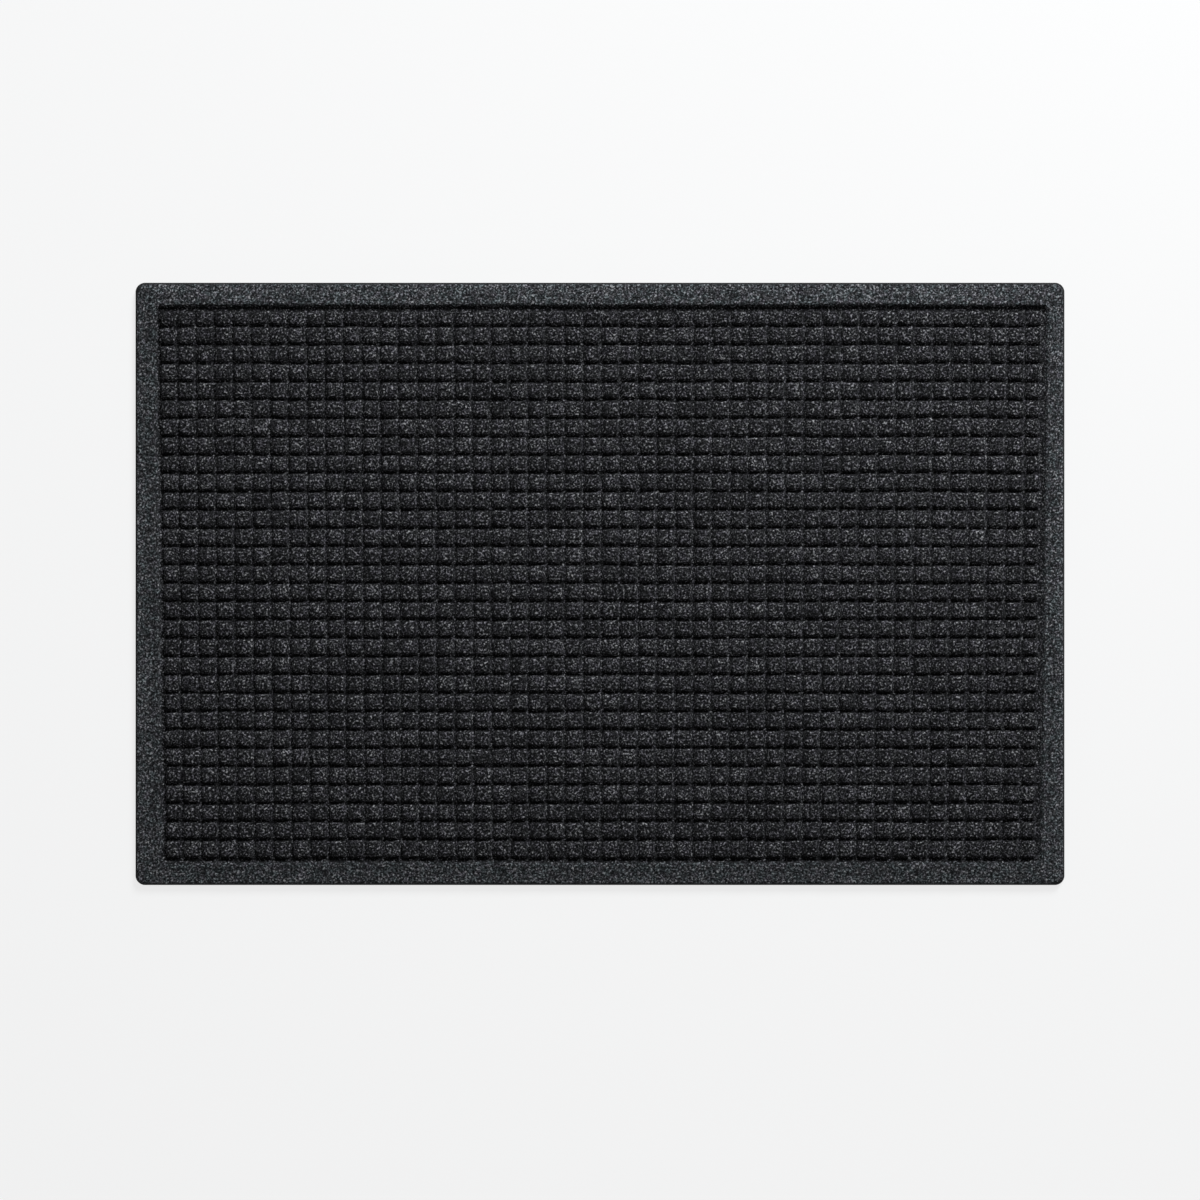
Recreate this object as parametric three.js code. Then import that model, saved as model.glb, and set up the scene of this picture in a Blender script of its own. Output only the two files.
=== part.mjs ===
// A moulded door mat: one sheet of needle-punched face fabric, with a raised border and a field of
// raised squares, on a woven carrier, on a flat rubber backing.
//
// Millimetres, +Z up. X runs along the long side and Y along the short side. The origin is at the
// centre of the underside, so the mat lies on the plane z = 0.

import * as THREE from "three";

// Whole mat
const MAT_LENGTH = 876;
const MAT_WIDTH = 568;
const MAT_HEIGHT = 9.5;
const CORNER_RADIUS = 9;

// Field of raised squares inside the border
const BLOCK_PITCH = 17.25;
const BLOCK_COLUMNS = 48;
const BLOCK_ROWS = 30;
const FIELD_LENGTH = BLOCK_COLUMNS * BLOCK_PITCH;
const FIELD_WIDTH = BLOCK_ROWS * BLOCK_PITCH;

// Channel round the field, between the first squares and the border
const CHANNEL_WIDTH = 4;
const CHANNEL_DEPTH = 4.3;
const CHANNEL_WALL_RUN = 0.8;
const CHANNEL_CORNER_RADIUS = 4.5;
const FIELD_CORNER_RADIUS = 2.5;

// Border: a rolled outer edge, a slope up from it, and a level crest beside the channel
const EDGE_ROLL = 2.4;
const EDGE_FOOT_HEIGHT = 1;
const EDGE_HEIGHT = 5.6;
const CREST_WIDTH = 3;

// Layers, from the floor up
const BACKING_THICKNESS = 2;
const BACKING_CHAMFER = 0.4;
const RUBBER_LIP = 1.2;
const CARRIER_THICKNESS = 0.5;
const CARRIER_INSET = 6;
const LAYER_GAP = 0.3;

const CORNER_SEGMENTS = 8;

const FABRIC_UNDERSIDE = BACKING_THICKNESS + LAYER_GAP;
const CARRIER_UNDERSIDE = BACKING_THICKNESS + LAYER_GAP;
const CARRIER_TOP = CARRIER_UNDERSIDE + CARRIER_THICKNESS;

// One level outline of a solid: a rounded rectangle at height z, inset from the mat's own outline.
function outlineInset(inset, z) {
  const radius = Math.max(CORNER_RADIUS - inset, FIELD_CORNER_RADIUS);
  return outline(MAT_LENGTH - 2 * inset, MAT_WIDTH - 2 * inset, radius, z);
}

function outline(length, width, radius, z) {
  const points = [];
  const corners = [
    [1, 1],
    [-1, 1],
    [-1, -1],
    [1, -1],
  ];
  corners.forEach(([sideX, sideY], quarter) => {
    const centreX = sideX * (length / 2 - radius);
    const centreY = sideY * (width / 2 - radius);
    for (let step = 0; step <= CORNER_SEGMENTS; step += 1) {
      const angle = (quarter + step / CORNER_SEGMENTS) * (Math.PI / 2);
      const x = centreX + radius * Math.cos(angle);
      const y = centreY + radius * Math.sin(angle);
      points.push(new THREE.Vector3(x, y, z));
    }
  });
  return points;
}

// A closed solid skinned over outlines that run from the middle of the underside, out round the
// edge and back to the middle of the top. The first and last outlines are closed by flat caps.
function skinnedSolid(outlines) {
  const count = outlines[0].length;
  const vertices = outlines.flat();
  const triangles = [];
  for (let level = 0; level < outlines.length - 1; level += 1) {
    for (let i = 0; i < count; i += 1) {
      const next = (i + 1) % count;
      const lower = level * count;
      const upper = lower + count;
      triangles.push(lower + i, lower + next, upper + next);
      triangles.push(lower + i, upper + next, upper + i);
    }
  }
  const bottomCentre = vertices.length;
  const topCentre = bottomCentre + 1;
  const topLevel = (outlines.length - 1) * count;
  vertices.push(new THREE.Vector3(0, 0, outlines[0][0].z));
  vertices.push(new THREE.Vector3(0, 0, outlines.at(-1)[0].z));
  for (let i = 0; i < count; i += 1) {
    const next = (i + 1) % count;
    triangles.push(bottomCentre, next, i);
    triangles.push(topCentre, topLevel + i, topLevel + next);
  }
  const geometry = new THREE.BufferGeometry().setFromPoints(vertices);
  geometry.setIndex(triangles);
  geometry.computeVertexNormals();
  return geometry;
}

function sheetMesh(name, geometry, color, roughness) {
  const material = new THREE.MeshStandardMaterial({ color, roughness, metalness: 0 });
  const mesh = new THREE.Mesh(geometry, material);
  mesh.name = name;
  return mesh;
}

// The rubber sheet that the mat stands on. It shows past the fabric as a thin lip all round.
function rubberBacking() {
  const geometry = skinnedSolid([
    outlineInset(BACKING_CHAMFER, 0),
    outlineInset(0, BACKING_CHAMFER),
    outlineInset(0, BACKING_THICKNESS - BACKING_CHAMFER),
    outlineInset(BACKING_CHAMFER, BACKING_THICKNESS),
  ]);
  return sheetMesh("rubber_backing", geometry, "#141414", 0.75);
}

// The woven cloth that the face fibres are needled through. The fabric's edge closes round it.
function carrierCloth() {
  const geometry = skinnedSolid([
    outlineInset(CARRIER_INSET, CARRIER_UNDERSIDE),
    outlineInset(CARRIER_INSET, CARRIER_TOP),
  ]);
  return sheetMesh("carrier_cloth", geometry, "#3a3a3a", 0.9);
}

// The face fabric, from the pocket in its underside that holds the carrier, round the rolled edge
// and up the border, down into the channel, and up to the level of the squares.
function faceFabric() {
  const pocketInset = CARRIER_INSET - LAYER_GAP;
  const pocketTop = CARRIER_TOP + LAYER_GAP;
  const channelFloor = MAT_HEIGHT - CHANNEL_DEPTH;
  const floorOuter = CHANNEL_WIDTH - 2 * CHANNEL_WALL_RUN;
  const crestOuter = CHANNEL_WIDTH + 2 * CREST_WIDTH;

  // An outline that follows the field's edge at a distance of half of spread outside it.
  const aroundField = (spread, radius, z) =>
    outline(FIELD_LENGTH + spread, FIELD_WIDTH + spread, radius, z);

  const geometry = skinnedSolid([
    outlineInset(pocketInset, pocketTop),
    outlineInset(pocketInset, FABRIC_UNDERSIDE),
    outlineInset(RUBBER_LIP, FABRIC_UNDERSIDE),
    outlineInset(RUBBER_LIP, FABRIC_UNDERSIDE + EDGE_FOOT_HEIGHT),
    outlineInset(RUBBER_LIP + EDGE_ROLL, EDGE_HEIGHT),
    aroundField(crestOuter, CHANNEL_CORNER_RADIUS + CREST_WIDTH, MAT_HEIGHT),
    aroundField(CHANNEL_WIDTH, CHANNEL_CORNER_RADIUS, MAT_HEIGHT),
    aroundField(floorOuter, CHANNEL_CORNER_RADIUS, channelFloor),
    aroundField(-floorOuter, FIELD_CORNER_RADIUS, channelFloor),
    aroundField(-CHANNEL_WIDTH, FIELD_CORNER_RADIUS, MAT_HEIGHT),
  ]);
  return sheetMesh("face_fabric", geometry, "#2b2c2e", 0.95);
}

const doorMat = new THREE.Group();
doorMat.add(rubberBacking());
doorMat.add(carrierCloth());
doorMat.add(faceFabric());

export default doorMat;
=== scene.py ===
"""The looks of a moulded door mat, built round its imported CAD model.

Metres, +Z up, in the CAD model's own frame: X along the long side, Y along the short side, and the
origin at the centre of the underside. The mat is a rubber backing, a woven carrier cloth and a
needle-punched face fabric that is moulded into a border, a channel and a field of raised squares.
"""

import math

import bpy
import numpy as np
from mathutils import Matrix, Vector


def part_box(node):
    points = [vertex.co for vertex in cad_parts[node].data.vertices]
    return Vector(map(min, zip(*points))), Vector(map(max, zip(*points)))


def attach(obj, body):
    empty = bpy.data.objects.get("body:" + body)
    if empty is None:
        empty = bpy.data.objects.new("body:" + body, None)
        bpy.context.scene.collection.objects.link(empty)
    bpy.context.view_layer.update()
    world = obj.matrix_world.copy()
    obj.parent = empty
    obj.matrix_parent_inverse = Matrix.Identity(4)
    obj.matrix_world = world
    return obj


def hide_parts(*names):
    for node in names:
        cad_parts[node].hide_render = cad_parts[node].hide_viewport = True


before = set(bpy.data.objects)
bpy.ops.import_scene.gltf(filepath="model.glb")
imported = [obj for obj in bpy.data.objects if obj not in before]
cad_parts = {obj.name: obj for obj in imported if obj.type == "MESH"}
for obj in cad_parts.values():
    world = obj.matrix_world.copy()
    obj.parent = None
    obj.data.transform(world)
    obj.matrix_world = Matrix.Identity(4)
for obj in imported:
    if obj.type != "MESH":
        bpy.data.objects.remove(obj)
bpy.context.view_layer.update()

MM = 0.001
BODY = "root"

# Each random field of values has its own seed, counted from this one
SEED = 31

# Field of raised squares, as in the CAD model
SQUARE_PITCH = 17.25 * MM
COLUMNS = 48
ROWS = 30

# How the moulding strays from an even grid
FIELD_SHIFT = (1.5 * MM, 0.9 * MM)
FIELD_TAPER = 3.2 * MM
GROOVE_OFFSET = 0.2 * MM
GROOVE_WANDER = 0.45 * MM
GROOVE_WANDER_CELL = 45 * MM
EDGE_WOBBLE = 0.32 * MM
EDGE_WOBBLE_CELL = 5.5 * MM

# One raised square: half its length and width at mid wall, then its wall, rim, corners and crown
HALF_LENGTH = 7.05 * MM
HALF_WIDTH = 7.0 * MM
WALL_OUTSIDE = 0.95 * MM
WALL_INSIDE = 0.9 * MM
RIM_WIDTH = 0.6 * MM
RIM_DROP = 0.03
CORNER_RADIUS = 2.2 * MM
CROWN = 0.24 * MM
GROOVE_FLOOR = 5.5 * MM
SQUARE_TOP = 9.4 * MM

# How the squares differ from one another
SQUARE_SHIFT = 0.22 * MM
SQUARE_SIZE_SPREAD = 0.3 * MM
SQUARE_TILT = 0.03
SQUARE_HEIGHT_SPREAD = 0.12 * MM

# How far the channel's centre line and the outermost walls stray from the grid's outermost lines,
# on the low side and the high side of each axis
CHANNEL_SHIFT_X = (0.4 * MM, -0.95 * MM)
CHANNEL_SHIFT_Y = (-1.4 * MM, -1.0 * MM)
OUTER_WALL_SHIFT_X = (0.6 * MM, -1.9 * MM)
OUTER_WALL_SHIFT_Y = (-0.8 * MM, -2.0 * MM)

# Border, as (distance, height, tone) points: outward from the channel's centre, then in from the edge.
# The tone makes the border lighter than the squares and holds painted light and shade.
# From the channel: painted shade down the channel's wall, then a painted highlight round the crest
BORDER_FROM_CHANNEL = np.array([
    (1.4, 5.5, 0.05),
    (3.6, 8.6, 0.2),
    (4.9, 9.4, 0.57),
    (6.9, 8.7, 0.75),
    (9.2, 8.4, 0.54),
]) * (MM, MM, 1)
# In from the edge: a painted highlight on the outer slope, then painted shade over the last 0.6 mm
# where the fabric rolls down to the rubber
BORDER_FROM_EDGE = np.array([
    (5.6, 6.95, 0.72),
    (2.4, 6.6, 0.78),
    (1.2, 6.35, 0.77),
    (0.6, 5.6, -0.6),
    (0.2, 4.4, -1.5),
    (0, 2.9, -2),
]) * (MM, MM, 1)
CHANNEL_CORNER = 1.8 * MM
OUTER_CORNER = 7.8 * MM

# Lumps that the needled fibres leave on every surface: (size, height)
LUMPS = [(11 * MM, 0.15 * MM), (4.2 * MM, 0.14 * MM)]

# The fabric's underside, round the carrier cloth
POCKET_INSET = 5.7 * MM

# How light the fibres are, as powers of e that their colour is scaled by. The squares and their patches
# differ at random, while the darker grooves, squares' sides and crossings are painted shade.
ROW_GROOVE_PAINTED_SHADE = -0.65
COLUMN_WALL_PAINTED_SHADE = -0.3
COLUMN_GROOVE_PAINTED_SHADE = -0.18
CROSSING_PAINTED_SHADE = -0.3
SQUARE_TONE = 0.12
PATCH_TONE = 0.1

# Over what length the painted shade fades in at a square's left and right sides, and the size of its
# patches
SIDE_FADE = 1.8 * MM
PATCH_SIZE = 30 * MM

# Rubber backing and carrier cloth: corners, and how far the backing's edge is rounded
BACKING_CORNER = 9 * MM
BACKING_LOWER_ROUND = 0.4 * MM
BACKING_UPPER_ROUND = 0.8 * MM
CARRIER_CORNER = 3 * MM
CORNER_STEPS = 16
EDGE_STEPS = 6

# Where the second layer of strands is read, so that it differs from the first, in millimetres
SECOND_STRANDS_OFFSET = (300, 170, 90)

# Studio: the picture's width as a multiple of the mat's length, and the light's angles in degrees
FRAME_WIDTH_TO_MAT = 1.2924
CAMERA_LENS = 100
CAMERA_SENSOR = 36
CAMERA_BELOW_MIDDLE = 15.2 * MM
KEY_AZIMUTH = 25
KEY_ELEVATION = 32
KEY_DISTANCE = 3.5
KEY_SIZE = 1.1
KEY_POWER = 130
KEY_COLOUR = (0.97, 1.0, 1.02)
AMBIENT_STRENGTH = 0.09
FLOOR_REACH = 16
FLOOR_SWEEP = 6
FLOOR_SIDES = 64
FLOOR_SWEEP_STEPS = 12


def smooth_step(value):
    """0 below 0, 1 above 1, and a smooth curve between."""
    t = np.clip(value, 0, 1)
    return t * t * (3 - 2 * t)


def lattice_noise(x, y, cell, seed):
    """Smooth noise from -1 to 1 at the points x, y, with one random value for each cell."""
    rng = np.random.default_rng(seed)
    u = (x - x.min()) / cell
    v = (y - y.min()) / cell
    lattice = rng.uniform(-1, 1, (int(u.max()) + 2, int(v.max()) + 2))
    i = u.astype(int)
    j = v.astype(int)
    s = smooth_step(u - i)
    t = smooth_step(v - j)
    near = lattice[i, j] * (1 - s) + lattice[i + 1, j] * s
    far = lattice[i, j + 1] * (1 - s) + lattice[i + 1, j + 1] * s
    return near * (1 - t) + far * t


# ---------------------------------------------------------------- field of squares


def pitch_lines(half, middle_lines):
    """Lines of the fabric's mesh over one pitch, in pitches: each side's foot and rim, and the top."""
    wall = np.array([half - WALL_INSIDE, half + WALL_OUTSIDE])
    shoulder = half - WALL_INSIDE - RIM_WIDTH
    top = np.linspace(-shoulder, shoulder, middle_lines + 2)
    return 0.5 + np.concatenate([-wall[::-1], top, wall]) / SQUARE_PITCH


def field_lines(count, steps):
    """Lines of the fabric's mesh on one axis: (place in the field in pitches, border level).

    The level is 0 in the field. It counts outward to the edge, and is negative on the low side.
    """
    field = np.concatenate([[0], *[k + steps for k in range(count)], [count]])
    levels = np.arange(1, len(BORDER_FROM_CHANNEL) + len(BORDER_FROM_EDGE) + 1)
    place = np.concatenate([np.zeros(len(levels)), field, np.full(len(levels), count)])
    level = np.concatenate([-levels[::-1], np.zeros(len(field), int), levels])
    return place, level


def end_shift(place, count, half, channel, wall):
    """How far the lines near both ends of the field move on one axis. The place is in pitches.

    Each shift holds the values for the low and the high end: the channel's centre line moves by
    one, the outermost walls by the other, and the outermost squares' middles stay.
    """
    foot = 0.5 - (half + WALL_OUTSIDE) / SQUARE_PITCH
    shoulder = 0.5 - (half - WALL_INSIDE - RIM_WIDTH) / SQUARE_PITCH
    steps = [0, foot, shoulder, 0.5]
    low = np.interp(place, steps, [channel[0], wall[0], wall[0], 0])
    high = np.interp(count - place, steps, [channel[1], wall[1], wall[1], 0])
    return low + high


class SquareField:
    """Where each point lies in its own raised square, and the random values of that square."""

    def __init__(self, column, row):
        self.column = column
        self.row = row
        i = np.clip(column.astype(int), 0, COLUMNS - 1)
        j = np.clip(row.astype(int), 0, ROWS - 1)
        self.index = (i, j)
        self.x = (column - i - 0.5) * SQUARE_PITCH
        self.y = (row - j - 0.5) * SQUARE_PITCH

    def varied(self, spread, seed):
        """One random value from -spread to spread for each square, read at every point."""
        values = np.random.default_rng(seed).uniform(-spread, spread, (COLUMNS, ROWS))
        return values[self.index]

    def position(self):
        """Where the points lie in the mat, with the grooves' wander and each square's own place."""
        x = (self.column - COLUMNS / 2) * SQUARE_PITCH
        y = (self.row - ROWS / 2) * SQUARE_PITCH
        taper = FIELD_TAPER * (x / (COLUMNS / 2 * SQUARE_PITCH)) * (y / (ROWS / 2 * SQUARE_PITCH))
        rng = np.random.default_rng(SEED)
        column_offsets = rng.uniform(-1, 1, COLUMNS + 1) * GROOVE_OFFSET
        row_offsets = rng.uniform(-1, 1, ROWS + 1) * GROOVE_OFFSET
        sway_x = GROOVE_WANDER * lattice_noise(x, y, GROOVE_WANDER_CELL, SEED + 1)
        sway_y = GROOVE_WANDER * lattice_noise(x, y, GROOVE_WANDER_CELL, SEED + 2)
        sway_x += np.interp(self.column, np.arange(COLUMNS + 1), column_offsets)
        sway_y += np.interp(self.row, np.arange(ROWS + 1), row_offsets)
        wobble_x = EDGE_WOBBLE * lattice_noise(x, y, EDGE_WOBBLE_CELL, SEED + 3)
        wobble_y = EDGE_WOBBLE * lattice_noise(x, y, EDGE_WOBBLE_CELL, SEED + 4)
        stretch_x = self.x / HALF_LENGTH * self.varied(SQUARE_SIZE_SPREAD, SEED + 6)
        stretch_y = self.y / HALF_WIDTH * self.varied(SQUARE_SIZE_SPREAD, SEED + 8)
        own_x = self.varied(SQUARE_SHIFT, SEED + 5) + stretch_x
        own_y = self.varied(SQUARE_SHIFT, SEED + 7) + stretch_y
        within_column = self.column % 1 > 0
        within_row = self.row % 1 > 0
        x += FIELD_SHIFT[0] + taper + sway_x + np.where(within_column, own_x + wobble_x, 0)
        y += FIELD_SHIFT[1] + sway_y + np.where(within_row, own_y + wobble_y, 0)
        x += end_shift(self.column, COLUMNS, HALF_LENGTH, CHANNEL_SHIFT_X, OUTER_WALL_SHIFT_X)
        y += end_shift(self.row, ROWS, HALF_WIDTH, CHANNEL_SHIFT_Y, OUTER_WALL_SHIFT_Y)
        return x, y

    def relief(self):
        """Height above the groove floor."""
        past_x = np.abs(self.x) - (HALF_LENGTH - CORNER_RADIUS)
        past_y = np.abs(self.y) - (HALF_WIDTH - CORNER_RADIUS)
        outside = np.hypot(np.maximum(past_x, 0), np.maximum(past_y, 0))
        distance = outside + np.minimum(np.maximum(past_x, past_y), 0) - CORNER_RADIUS
        steps = [-WALL_INSIDE - RIM_WIDTH, -WALL_INSIDE, WALL_OUTSIDE]
        share = np.interp(distance, steps, [1, 1 - RIM_DROP, 0])
        crown = CROWN * ((self.x / HALF_LENGTH) ** 2 + (self.y / HALF_WIDTH) ** 2)
        tilt_x = self.varied(SQUARE_TILT, SEED + 9) * self.x
        tilt_y = self.varied(SQUARE_TILT, SEED + 10) * self.y
        own_height = self.varied(SQUARE_HEIGHT_SPREAD, SEED + 11)
        return share * (SQUARE_TOP - GROOVE_FLOOR - crown + tilt_x + tilt_y + own_height)

    def tone(self):
        """Lighter and darker squares at random, with painted shade: dark grooves along the rows, dimmer
        ones between columns, and darker sides on the squares.
        """
        wall = WALL_INSIDE + WALL_OUTSIDE
        past_rim_x = np.abs(self.x) - HALF_LENGTH + WALL_INSIDE
        past_rim_y = np.abs(self.y) - HALF_WIDTH + WALL_INSIDE
        off_x = smooth_step(past_rim_x / wall)
        off_y = smooth_step(past_rim_y / wall)
        beside = smooth_step(past_rim_x / SIDE_FADE + 1)
        own_tones = SQUARE_TONE * np.random.default_rng(SEED + 12).normal(0, 1, (COLUMNS, ROWS))
        tops = own_tones[self.index] * (1 - off_x) * (1 - off_y)
        # Painted shade on the squares' left and right sides, in the grooves and where they cross
        walls = COLUMN_WALL_PAINTED_SHADE * beside * (1 - off_x)
        painted_row_groove_shade = ROW_GROOVE_PAINTED_SHADE * off_y * (1 - off_x)
        painted_column_groove_shade = COLUMN_GROOVE_PAINTED_SHADE * off_x + CROSSING_PAINTED_SHADE * off_x * off_y
        return tops + walls + painted_row_groove_shade + painted_column_groove_shade


# ---------------------------------------------------------------- face fabric


def border_line(channel, edge, level):
    """Where a border line lies between the channel's centre line and the fabric's edge.

    The edge is on the low side where it is negative, and the level counts outward from 0.
    """
    outward = np.sign(edge)
    from_channel = np.concatenate([[0], BORDER_FROM_CHANNEL[:, 0]])
    inner = channel + outward * from_channel[np.clip(level, 0, len(from_channel) - 1)]
    from_edge = np.concatenate([np.zeros(len(from_channel)), BORDER_FROM_EDGE[:, 0]])
    outer = edge - outward * from_edge[level]
    return np.where(level < len(from_channel), inner, outer)


def round_corners(x, y, corner_x, corner_y, radius):
    """Pulls the points beside each ring's square corner on to an arc of the ring's radius."""
    side_x = np.sign(corner_x)
    side_y = np.sign(corner_y)
    out_x = side_x * x - (side_x * corner_x - radius)
    out_y = side_y * y - (side_y * corner_y - radius)
    reach = np.hypot(out_x, out_y)
    beside = (out_x > 0) & (out_y > 0) & (reach > 0)
    pull = np.where(beside, radius / np.where(beside, reach, 1), 1)
    new_x = side_x * (side_x * corner_x - radius + out_x * pull)
    new_y = side_y * (side_y * corner_y - radius + out_y * pull)
    return np.where(beside, new_x, x), np.where(beside, new_y, y)


def face_fabric_mesh():
    """The face fabric: one closed mesh, its moulded top and its underside round the carrier."""
    low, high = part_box("face_fabric")
    column, column_levels = field_lines(COLUMNS, pitch_lines(HALF_LENGTH, middle_lines=1))
    row, row_levels = field_lines(ROWS, pitch_lines(HALF_WIDTH, middle_lines=2))
    level_x, level_y = np.meshgrid(column_levels, row_levels, indexing="ij")
    squares = SquareField(*np.meshgrid(column, row, indexing="ij"))

    field_x, field_y = squares.position()
    edge_x = np.where(level_x < 0, low.x, high.x)
    edge_y = np.where(level_y < 0, low.y, high.y)
    x = border_line(field_x, edge_x, np.abs(level_x))
    y = border_line(field_y, edge_y, np.abs(level_y))

    ring = np.maximum(np.abs(level_x), np.abs(level_y))
    inner_radii = BORDER_FROM_CHANNEL[:, 0] + CHANNEL_CORNER
    radii = np.concatenate([[0], inner_radii, np.full(len(BORDER_FROM_EDGE), OUTER_CORNER)])
    round_x, round_y = round_corners(
        x,
        y,
        border_line(field_x, edge_x, ring),
        border_line(field_y, edge_y, ring),
        np.minimum(radii, OUTER_CORNER)[ring],
    )
    in_corner = (level_x != 0) & (level_y != 0)
    x = np.where(in_corner, round_x, x)
    y = np.where(in_corner, round_y, y)

    field_point = (0, GROOVE_FLOOR, 0)
    border = np.concatenate([[field_point], BORDER_FROM_CHANNEL, BORDER_FROM_EDGE])[ring]
    z = border[..., 1] + np.where(ring == 0, squares.relief(), 0)
    for number, (size, height) in enumerate(LUMPS):
        z += height * lattice_noise(x, y, size, SEED + 20 + number) * (ring < ring.max())

    past_channel = ring > 1
    # Random tone plus painted light and shade: the border table's everywhere, and the squares' up to
    # the channel
    tone = border[..., 2] + np.where(past_channel, 0, squares.tone())
    tone += PATCH_TONE * lattice_noise(x, y, PATCH_SIZE, SEED + 30)
    mesh = grid_body("moulded_face_fabric", x, y, z, low.z)
    write_attribute(mesh, "tone", tone)
    write_attribute(mesh, "border", past_channel)
    return mesh


def grid_body(name, x, y, z, bottom):
    """A closed mesh: the grid of points as its top, and a rim down to a pocketed underside."""
    across, along = x.shape
    index = np.arange(across * along).reshape(across, along)
    quads = np.stack([index[:-1, :-1], index[1:, :-1], index[1:, 1:], index[:-1, 1:]], axis=-1)
    faces = quads.reshape(-1, 4).tolist()
    points = np.stack([x.ravel(), y.ravel(), z.ravel()], axis=1)

    loop = np.concatenate([index[:-1, 0], index[-1, :-1], index[:0:-1, -1], index[0, :0:-1]])
    rim = points[loop, :2]
    pocket = rim * (1 - POCKET_INSET / np.abs(rim).max(axis=0))
    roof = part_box("carrier_cloth")[1].z
    underside = [np.insert(rim, 2, bottom, 1), np.insert(pocket, 2, bottom, 1)]
    underside.append(np.insert(pocket, 2, roof, 1))
    previous = loop
    for number in range(len(underside)):
        current = len(points) + number * len(loop) + np.arange(len(loop))
        wall = [np.roll(previous, -1), previous, current, np.roll(current, -1)]
        faces += np.stack(wall, axis=1).tolist()
        previous = current
    faces.append(previous[::-1].tolist())

    mesh = bpy.data.meshes.new(name)
    mesh.from_pydata(np.concatenate([points, *underside]).tolist(), [], faces)
    mesh.validate()
    mesh.shade_smooth()
    return mesh


def write_attribute(mesh, name, values):
    """Gives each of the mesh's first points its value, and 0 to the points of the underside."""
    padded = np.zeros(len(mesh.vertices), np.float32)
    padded[: values.size] = values.ravel()
    mesh.attributes.new(name, "FLOAT", "POINT").data.foreach_set("value", padded)


# ---------------------------------------------------------------- rubber and carrier


def rounded_outline(half_x, half_y, radius, z):
    """Points of a rounded rectangle at height z, anticlockwise from the end of its right side."""
    points = []
    for quarter, (side_x, side_y) in enumerate([(1, 1), (-1, 1), (-1, -1), (1, -1)]):
        for step in range(CORNER_STEPS + 1):
            angle = (quarter + step / CORNER_STEPS) * math.pi / 2
            x = side_x * (half_x - radius) + radius * math.cos(angle)
            y = side_y * (half_y - radius) + radius * math.sin(angle)
            points.append((x, y, z))
    return points


def skinned_mesh(name, outlines):
    """A closed mesh over outlines that run from the underside, round the edge, to the top."""
    count = len(outlines[0])
    vertices = [point for outline in outlines for point in outline]
    faces = [list(range(count))[::-1]]
    for start in range(0, len(vertices) - count, count):
        for i in range(count):
            step = (i + 1) % count
            faces.append([start + i, start + step, start + count + step, start + count + i])
    faces.append(list(range(len(vertices) - count, len(vertices))))
    mesh = bpy.data.meshes.new(name)
    mesh.from_pydata(vertices, [], faces)
    mesh.validate()
    return mesh


def rubber_backing_mesh():
    """The rubber sheet, with a soft trimmed edge where it shows past the fabric."""
    low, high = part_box("rubber_backing")
    profile = []
    for step in range(EDGE_STEPS + 1):
        angle = math.pi / 2 * step / EDGE_STEPS
        inset = BACKING_LOWER_ROUND * (1 - math.sin(angle))
        profile.append((inset, low.z + BACKING_LOWER_ROUND * (1 - math.cos(angle))))
    for step in range(EDGE_STEPS + 1):
        angle = math.pi / 2 * step / EDGE_STEPS
        inset = BACKING_UPPER_ROUND * (1 - math.cos(angle))
        profile.append((inset, high.z - BACKING_UPPER_ROUND * (1 - math.sin(angle))))
    outlines = [
        rounded_outline(high.x - inset, high.y - inset, BACKING_CORNER - inset, z)
        for inset, z in profile
    ]
    mesh = skinned_mesh("moulded_rubber_backing", outlines)
    mesh.shade_smooth()
    return mesh


def carrier_cloth_mesh():
    """The woven carrier, a thin closed sheet inside the mat."""
    low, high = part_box("carrier_cloth")
    outlines = [rounded_outline(high.x, high.y, CARRIER_CORNER, z) for z in (low.z, high.z)]
    return skinned_mesh("woven_carrier_cloth", outlines)


# ---------------------------------------------------------------- materials


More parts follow.
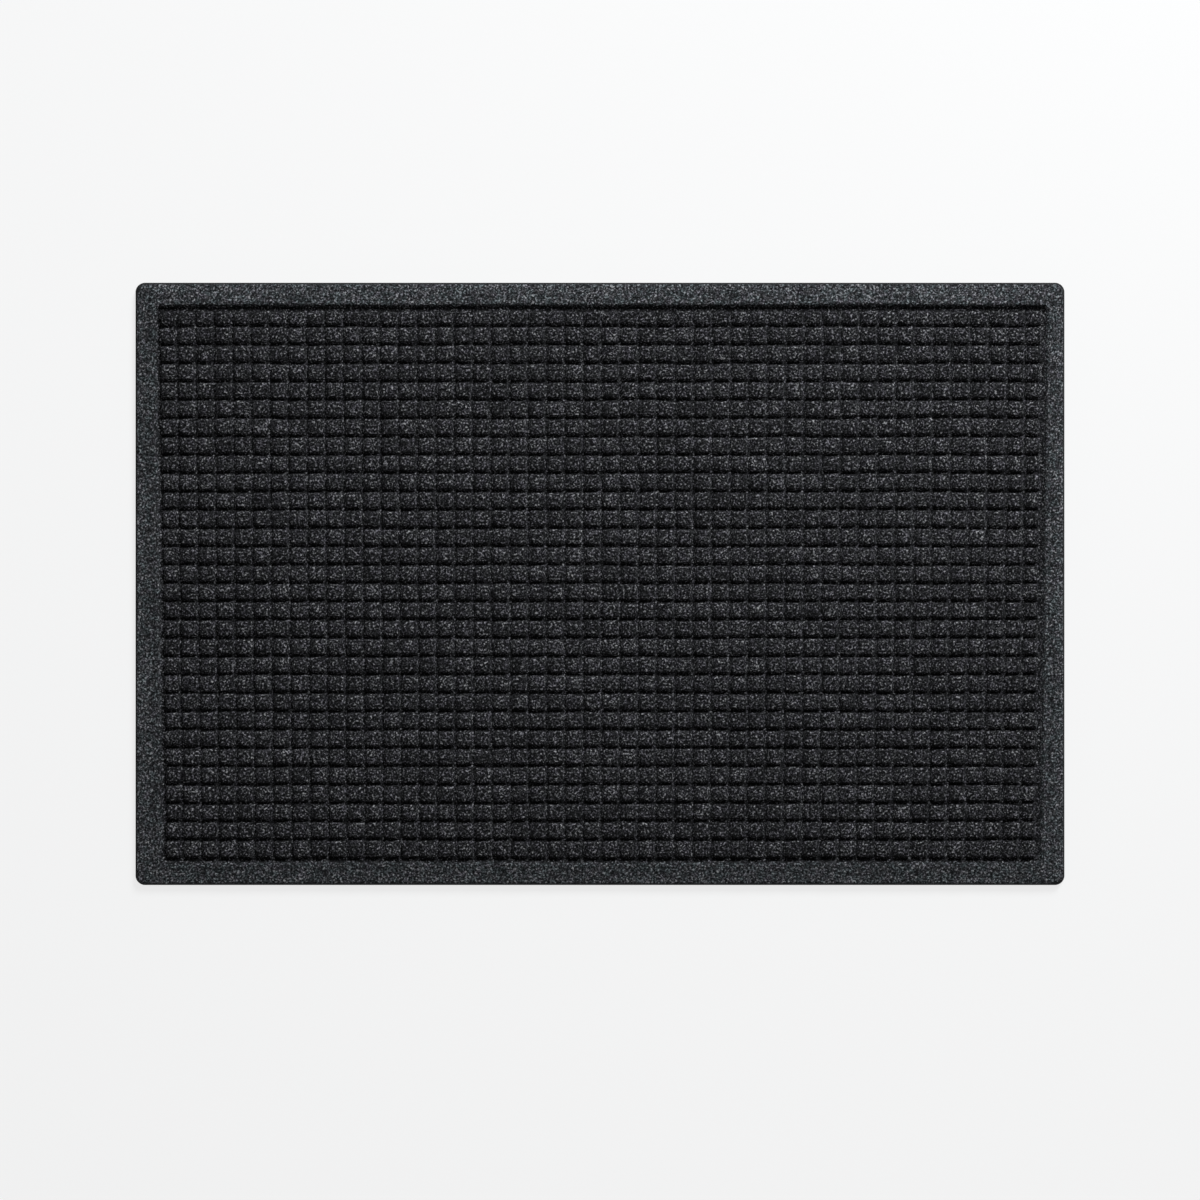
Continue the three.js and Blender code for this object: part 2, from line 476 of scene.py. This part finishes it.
class Nodes:
    """A material's node tree, with short calls for the nodes used here."""

    def __init__(self, name):
        self.material = bpy.data.materials.new(name)
        self.material.use_nodes = True
        self.tree = self.material.node_tree
        self.shader = self.tree.nodes["Principled BSDF"]

    def add(self, kind, inputs=None, **settings):
        node = self.tree.nodes.new(kind)
        for name, value in settings.items():
            setattr(node, name, value)
        for name, value in (inputs or {}).items():
            self.feed(node.inputs[name], value)
        return node

    def feed(self, socket, value):
        if isinstance(value, bpy.types.NodeSocket):
            self.tree.links.new(value, socket)
        else:
            socket.default_value = value

    def finish(self, **inputs):
        """Sets the shader's inputs, each named with _ for a space, and gives the material."""
        for name, value in inputs.items():
            self.feed(self.shader.inputs[name.replace("_", " ")], value)
        return self.material

    def math(self, operation, first, second=0.0, third=0.0):
        node = self.add("ShaderNodeMath", operation=operation)
        for socket, value in zip(node.inputs, (first, second, third)):
            self.feed(socket, value)
        return node.outputs[0]

    def vector(self, operation, inputs):
        return self.add("ShaderNodeVectorMath", inputs, operation=operation).outputs[0]

    def attribute(self, name):
        return self.add("ShaderNodeAttribute", attribute_name=name).outputs["Fac"]

    def mix(self, factor, first, second):
        """The first colour where the factor is 0 or less, and the second where it is 1 or more."""
        inputs = {"Factor": factor, "A": first, "B": second}
        return self.add("ShaderNodeMix", inputs, data_type="RGBA").outputs["Result"]

    def noise(self, coordinates, scale, detail=2.0, roughness=0.5):
        """Noise round 0.5. The scale is in features per millimetre."""
        inputs = {"Vector": coordinates, "Scale": scale, "Detail": detail, "Roughness": roughness}
        return self.add("ShaderNodeTexNoise", inputs).outputs["Fac"]

    def weighted(self, base, *terms):
        """base plus each (value, centre, weight) term's weight times its distance from centre."""
        total = base
        for value, centre, weight in terms:
            shifted = self.math("SUBTRACT", value, centre)
            total = self.math("MULTIPLY_ADD", shifted, weight, total)
        return total

    def millimetres(self):
        """Object coordinates in millimetres."""
        place = self.add("ShaderNodeTexCoord").outputs["Object"]
        return self.vector("SCALE", {0: place, "Scale": 1 / MM})

    def curled(self, coordinates, scale, amount):
        """Coordinates bent by noise, so that what is drawn on them curls."""
        inputs = {"Vector": coordinates, "Scale": scale, "Detail": 1.0}
        bend = self.add("ShaderNodeTexNoise", inputs).outputs["Color"]
        centred = self.vector("SUBTRACT", {0: bend, 1: (0.5, 0.5, 0.5)})
        return self.vector("MULTIPLY_ADD", {0: centred, 1: (amount, amount, amount), 2: coordinates})

    def strands(self, coordinates, scale, width):
        """1 along thin curly lines, falling to 0 beside them. The width is a share of the noise."""
        field = self.noise(coordinates, scale, 0.0)
        away = self.math("ABSOLUTE", self.math("SUBTRACT", field, 0.5))
        inputs = {"Value": away, "From Min": 0.0, "From Max": width, "To Min": 1.0, "To Max": 0.0}
        return self.add("ShaderNodeMapRange", inputs, interpolation_type="SMOOTHSTEP").outputs["Result"]


def heather_tint(nodes, place):
    """Neutral fibres with violet patches, and teal patches on the border."""
    neutral = (0.0208, 0.0209, 0.0221, 1)
    violet = (0.0216, 0.0209, 0.0240, 1)
    teal = (0.0180, 0.0209, 0.0222, 1)
    violet_patches = nodes.weighted(0.4, (nodes.noise(place, scale=0.13, detail=1.0), 0.5, 4.0))
    teal_patches = nodes.weighted(0.38, (nodes.noise(place, scale=0.19, detail=1.0), 0.5, 4.0))
    field = nodes.mix(violet_patches, neutral, violet)
    return nodes.mix(nodes.math("MULTIPLY", teal_patches, nodes.attribute("border")), field, teal)


def heather_fabric():
    """Black needle-punched fibres flecked with light grey, curled and tangled."""
    nodes = Nodes("heather_fabric")
    place = nodes.millimetres()
    curled = nodes.curled(place, scale=0.5, amount=1.6)
    aside = nodes.vector("ADD", {0: curled, 1: SECOND_STRANDS_OFFSET})
    flecks = nodes.noise(curled, scale=0.56, detail=1.0)
    fibres = nodes.noise(nodes.curled(place, scale=1.2, amount=1.2), scale=1.6, roughness=0.6)
    strands = nodes.math(
        "ADD",
        nodes.strands(curled, scale=0.3, width=0.11),
        nodes.strands(aside, scale=0.36, width=0.11),
    )
    mottle = nodes.noise(place, scale=0.09)
    pattern = nodes.weighted(
        0.0, (flecks, 0.5, 10.2), (fibres, 0.5, 4.9), (strands, 0.7, 1.05), (mottle, 0.5, 0.8)
    )
    contrast = nodes.weighted(1.16, (nodes.attribute("border"), 0.0, -0.28))
    # The attribute adds random tone and painted light and shade to the fibres' pattern
    exponent = nodes.math("MULTIPLY_ADD", pattern, contrast, nodes.attribute("tone"))
    tint = heather_tint(nodes, place)
    colour = nodes.vector("SCALE", {0: tint, "Scale": nodes.math("EXPONENT", exponent)})
    lightest = 0.4
    capped = nodes.vector("MINIMUM", {0: colour, 1: (lightest, lightest, lightest)})
    height = nodes.weighted(0.0, (flecks, 0.5, 1.0), (fibres, 0.5, 0.9), (strands, 0.0, 0.15))
    bump = nodes.add("ShaderNodeBump", {"Strength": 0.7, "Distance": 0.6 * MM, "Height": height})
    return nodes.finish(
        Base_Color=capped,
        Roughness=nodes.weighted(0.92, (fibres, 0.5, 0.3)),
        Normal=bump.outputs["Normal"],
        Specular_IOR_Level=0.08,
        Sheen_Weight=0.08,
        Sheen_Roughness=0.6,
        Sheen_Tint=(0.5, 0.54, 0.58, 1),
    )


def woven_ribs(nodes, coordinates, scale, distortion):
    """The ribs of a weave, along X and along Y, each from 0 to 1."""
    inputs = {"Vector": coordinates, "Scale": scale, "Distortion": distortion}
    return [
        nodes.add("ShaderNodeTexWave", inputs, bands_direction=direction).outputs["Fac"]
        for direction in ("X", "Y")
    ]


def backing_rubber():
    """Matt black rubber with the fine grain of the cloth that it was moulded against."""
    nodes = Nodes("backing_rubber")
    place = nodes.millimetres()
    grain = nodes.noise(place, scale=1.6, detail=3.0, roughness=0.6)
    bloom = nodes.noise(place, scale=0.03, detail=3.0, roughness=0.6)
    weave = nodes.math("MULTIPLY", *woven_ribs(nodes, place, scale=0.32, distortion=0.4))
    shade = nodes.weighted(0.0, (bloom, 0.5, 0.9), (grain, 0.5, 0.6))
    black = (0.010, 0.010, 0.011)
    height = nodes.weighted(0.0, (weave, 0.5, 1.0), (grain, 0.5, 0.5))
    bump = nodes.add("ShaderNodeBump", {"Strength": 0.5, "Distance": 0.25 * MM, "Height": height})
    return nodes.finish(
        Base_Color=nodes.vector("SCALE", {0: black, "Scale": nodes.math("EXPONENT", shade)}),
        Roughness=nodes.weighted(0.68, (grain, 0.5, 0.3), (bloom, 0.5, 0.3)),
        Normal=bump.outputs["Normal"],
        Specular_IOR_Level=0.3,
    )


def carrier_weave():
    """Plain woven polypropylene tape."""
    nodes = Nodes("carrier_weave")
    weave = nodes.math("MAXIMUM", *woven_ribs(nodes, nodes.millimetres(), scale=0.25, distortion=0.0))
    grey = (0.05, 0.05, 0.052)
    bump = nodes.add("ShaderNodeBump", {"Strength": 0.5, "Distance": 0.3 * MM, "Height": weave})
    return nodes.finish(
        Base_Color=nodes.vector("SCALE", {0: grey, "Scale": nodes.weighted(0.7, (weave, 0.5, 0.6))}),
        Roughness=nodes.weighted(0.7, (weave, 0.5, 0.2)),
        Normal=bump.outputs["Normal"],
    )


# ---------------------------------------------------------------- pieces


def add_piece(mesh, material, node):
    """Links a piece of the mat that stands for a CAD node."""
    piece = bpy.data.objects.new(mesh.name, mesh)
    bpy.context.scene.collection.objects.link(piece)
    mesh.materials.append(material)
    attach(piece, BODY)
    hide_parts(node)
    return piece


def size_of(node):
    low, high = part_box(node)
    return high - low


def build_mat():
    backing = add_piece(rubber_backing_mesh(), backing_rubber(), "rubber_backing")
    carrier = add_piece(carrier_cloth_mesh(), carrier_weave(), "carrier_cloth")
    face = add_piece(face_fabric_mesh(), heather_fabric(), "face_fabric")


# ---------------------------------------------------------------- studio


def pale_floor():
    """A plain pale floor that sweeps up far from the mat.

    It gives off most of its light itself, so that it looks even.
    """
    nodes = Nodes("pale_floor")
    material = nodes.finish(
        Base_Color=(0.2, 0.2, 0.2, 1),
        Roughness=0.9,
        Specular_IOR_Level=0.0,
        Emission_Color=(1, 1, 1, 1),
        Emission_Strength=0.78,
    )
    vertices = []
    for step in range(FLOOR_SWEEP_STEPS + 1):
        rise = math.pi / 2 * step / FLOOR_SWEEP_STEPS
        radius = FLOOR_REACH + FLOOR_SWEEP * math.sin(rise)
        height = FLOOR_SWEEP * (1 - math.cos(rise))
        for side in range(FLOOR_SIDES):
            turn = 2 * math.pi * side / FLOOR_SIDES
            vertices.append((radius * math.cos(turn), radius * math.sin(turn), height))
    faces = [list(range(FLOOR_SIDES))]
    for start in range(0, FLOOR_SWEEP_STEPS * FLOOR_SIDES, FLOOR_SIDES):
        outer = start + FLOOR_SIDES
        for side in range(FLOOR_SIDES):
            beside = (side + 1) % FLOOR_SIDES
            faces.append([start + side, outer + side, outer + beside, start + beside])
    mesh = bpy.data.meshes.new("studio_floor")
    mesh.from_pydata(vertices, [], faces)
    mesh.shade_smooth()
    mesh.materials.append(material)
    floor = bpy.data.objects.new("studio_floor", mesh)
    bpy.context.scene.collection.objects.link(floor)


def key_light():
    """A soft square light that faces the mat. Its azimuth turns from +Y towards +X, in degrees."""
    data = bpy.data.lights.new("key_light", "AREA")
    data.shape = "SQUARE"
    data.size = KEY_SIZE
    data.energy = KEY_POWER
    data.color = KEY_COLOUR
    light = bpy.data.objects.new("key_light", data)
    azimuth = math.radians(KEY_AZIMUTH)
    elevation = math.radians(KEY_ELEVATION)
    light.location = (
        KEY_DISTANCE * math.sin(azimuth) * math.cos(elevation),
        KEY_DISTANCE * math.cos(azimuth) * math.cos(elevation),
        KEY_DISTANCE * math.sin(elevation),
    )
    light.rotation_mode = "QUATERNION"
    light.rotation_quaternion = light.location.to_track_quat("Z", "Y")
    bpy.context.scene.collection.objects.link(light)


def ambient_light():
    world = bpy.data.worlds.new("studio")
    world.use_nodes = True
    background = world.node_tree.nodes["Background"]
    background.inputs["Color"].default_value = (1, 1, 1, 1)
    background.inputs["Strength"].default_value = AMBIENT_STRENGTH
    bpy.context.scene.world = world


def overhead_camera():
    """Straight above the mat, far enough away that its sides look parallel."""
    frame_width = size_of("rubber_backing").x * FRAME_WIDTH_TO_MAT
    data = bpy.data.cameras.new("camera")
    data.lens = CAMERA_LENS
    data.sensor_width = CAMERA_SENSOR
    camera = bpy.data.objects.new("camera", data)
    camera.location = (0, -CAMERA_BELOW_MIDDLE, frame_width * CAMERA_LENS / CAMERA_SENSOR)
    bpy.context.scene.collection.objects.link(camera)
    bpy.context.scene.camera = camera


build_mat()
pale_floor()
key_light()
ambient_light()
overhead_camera()
bpy.context.scene.view_settings.view_transform = "Standard"
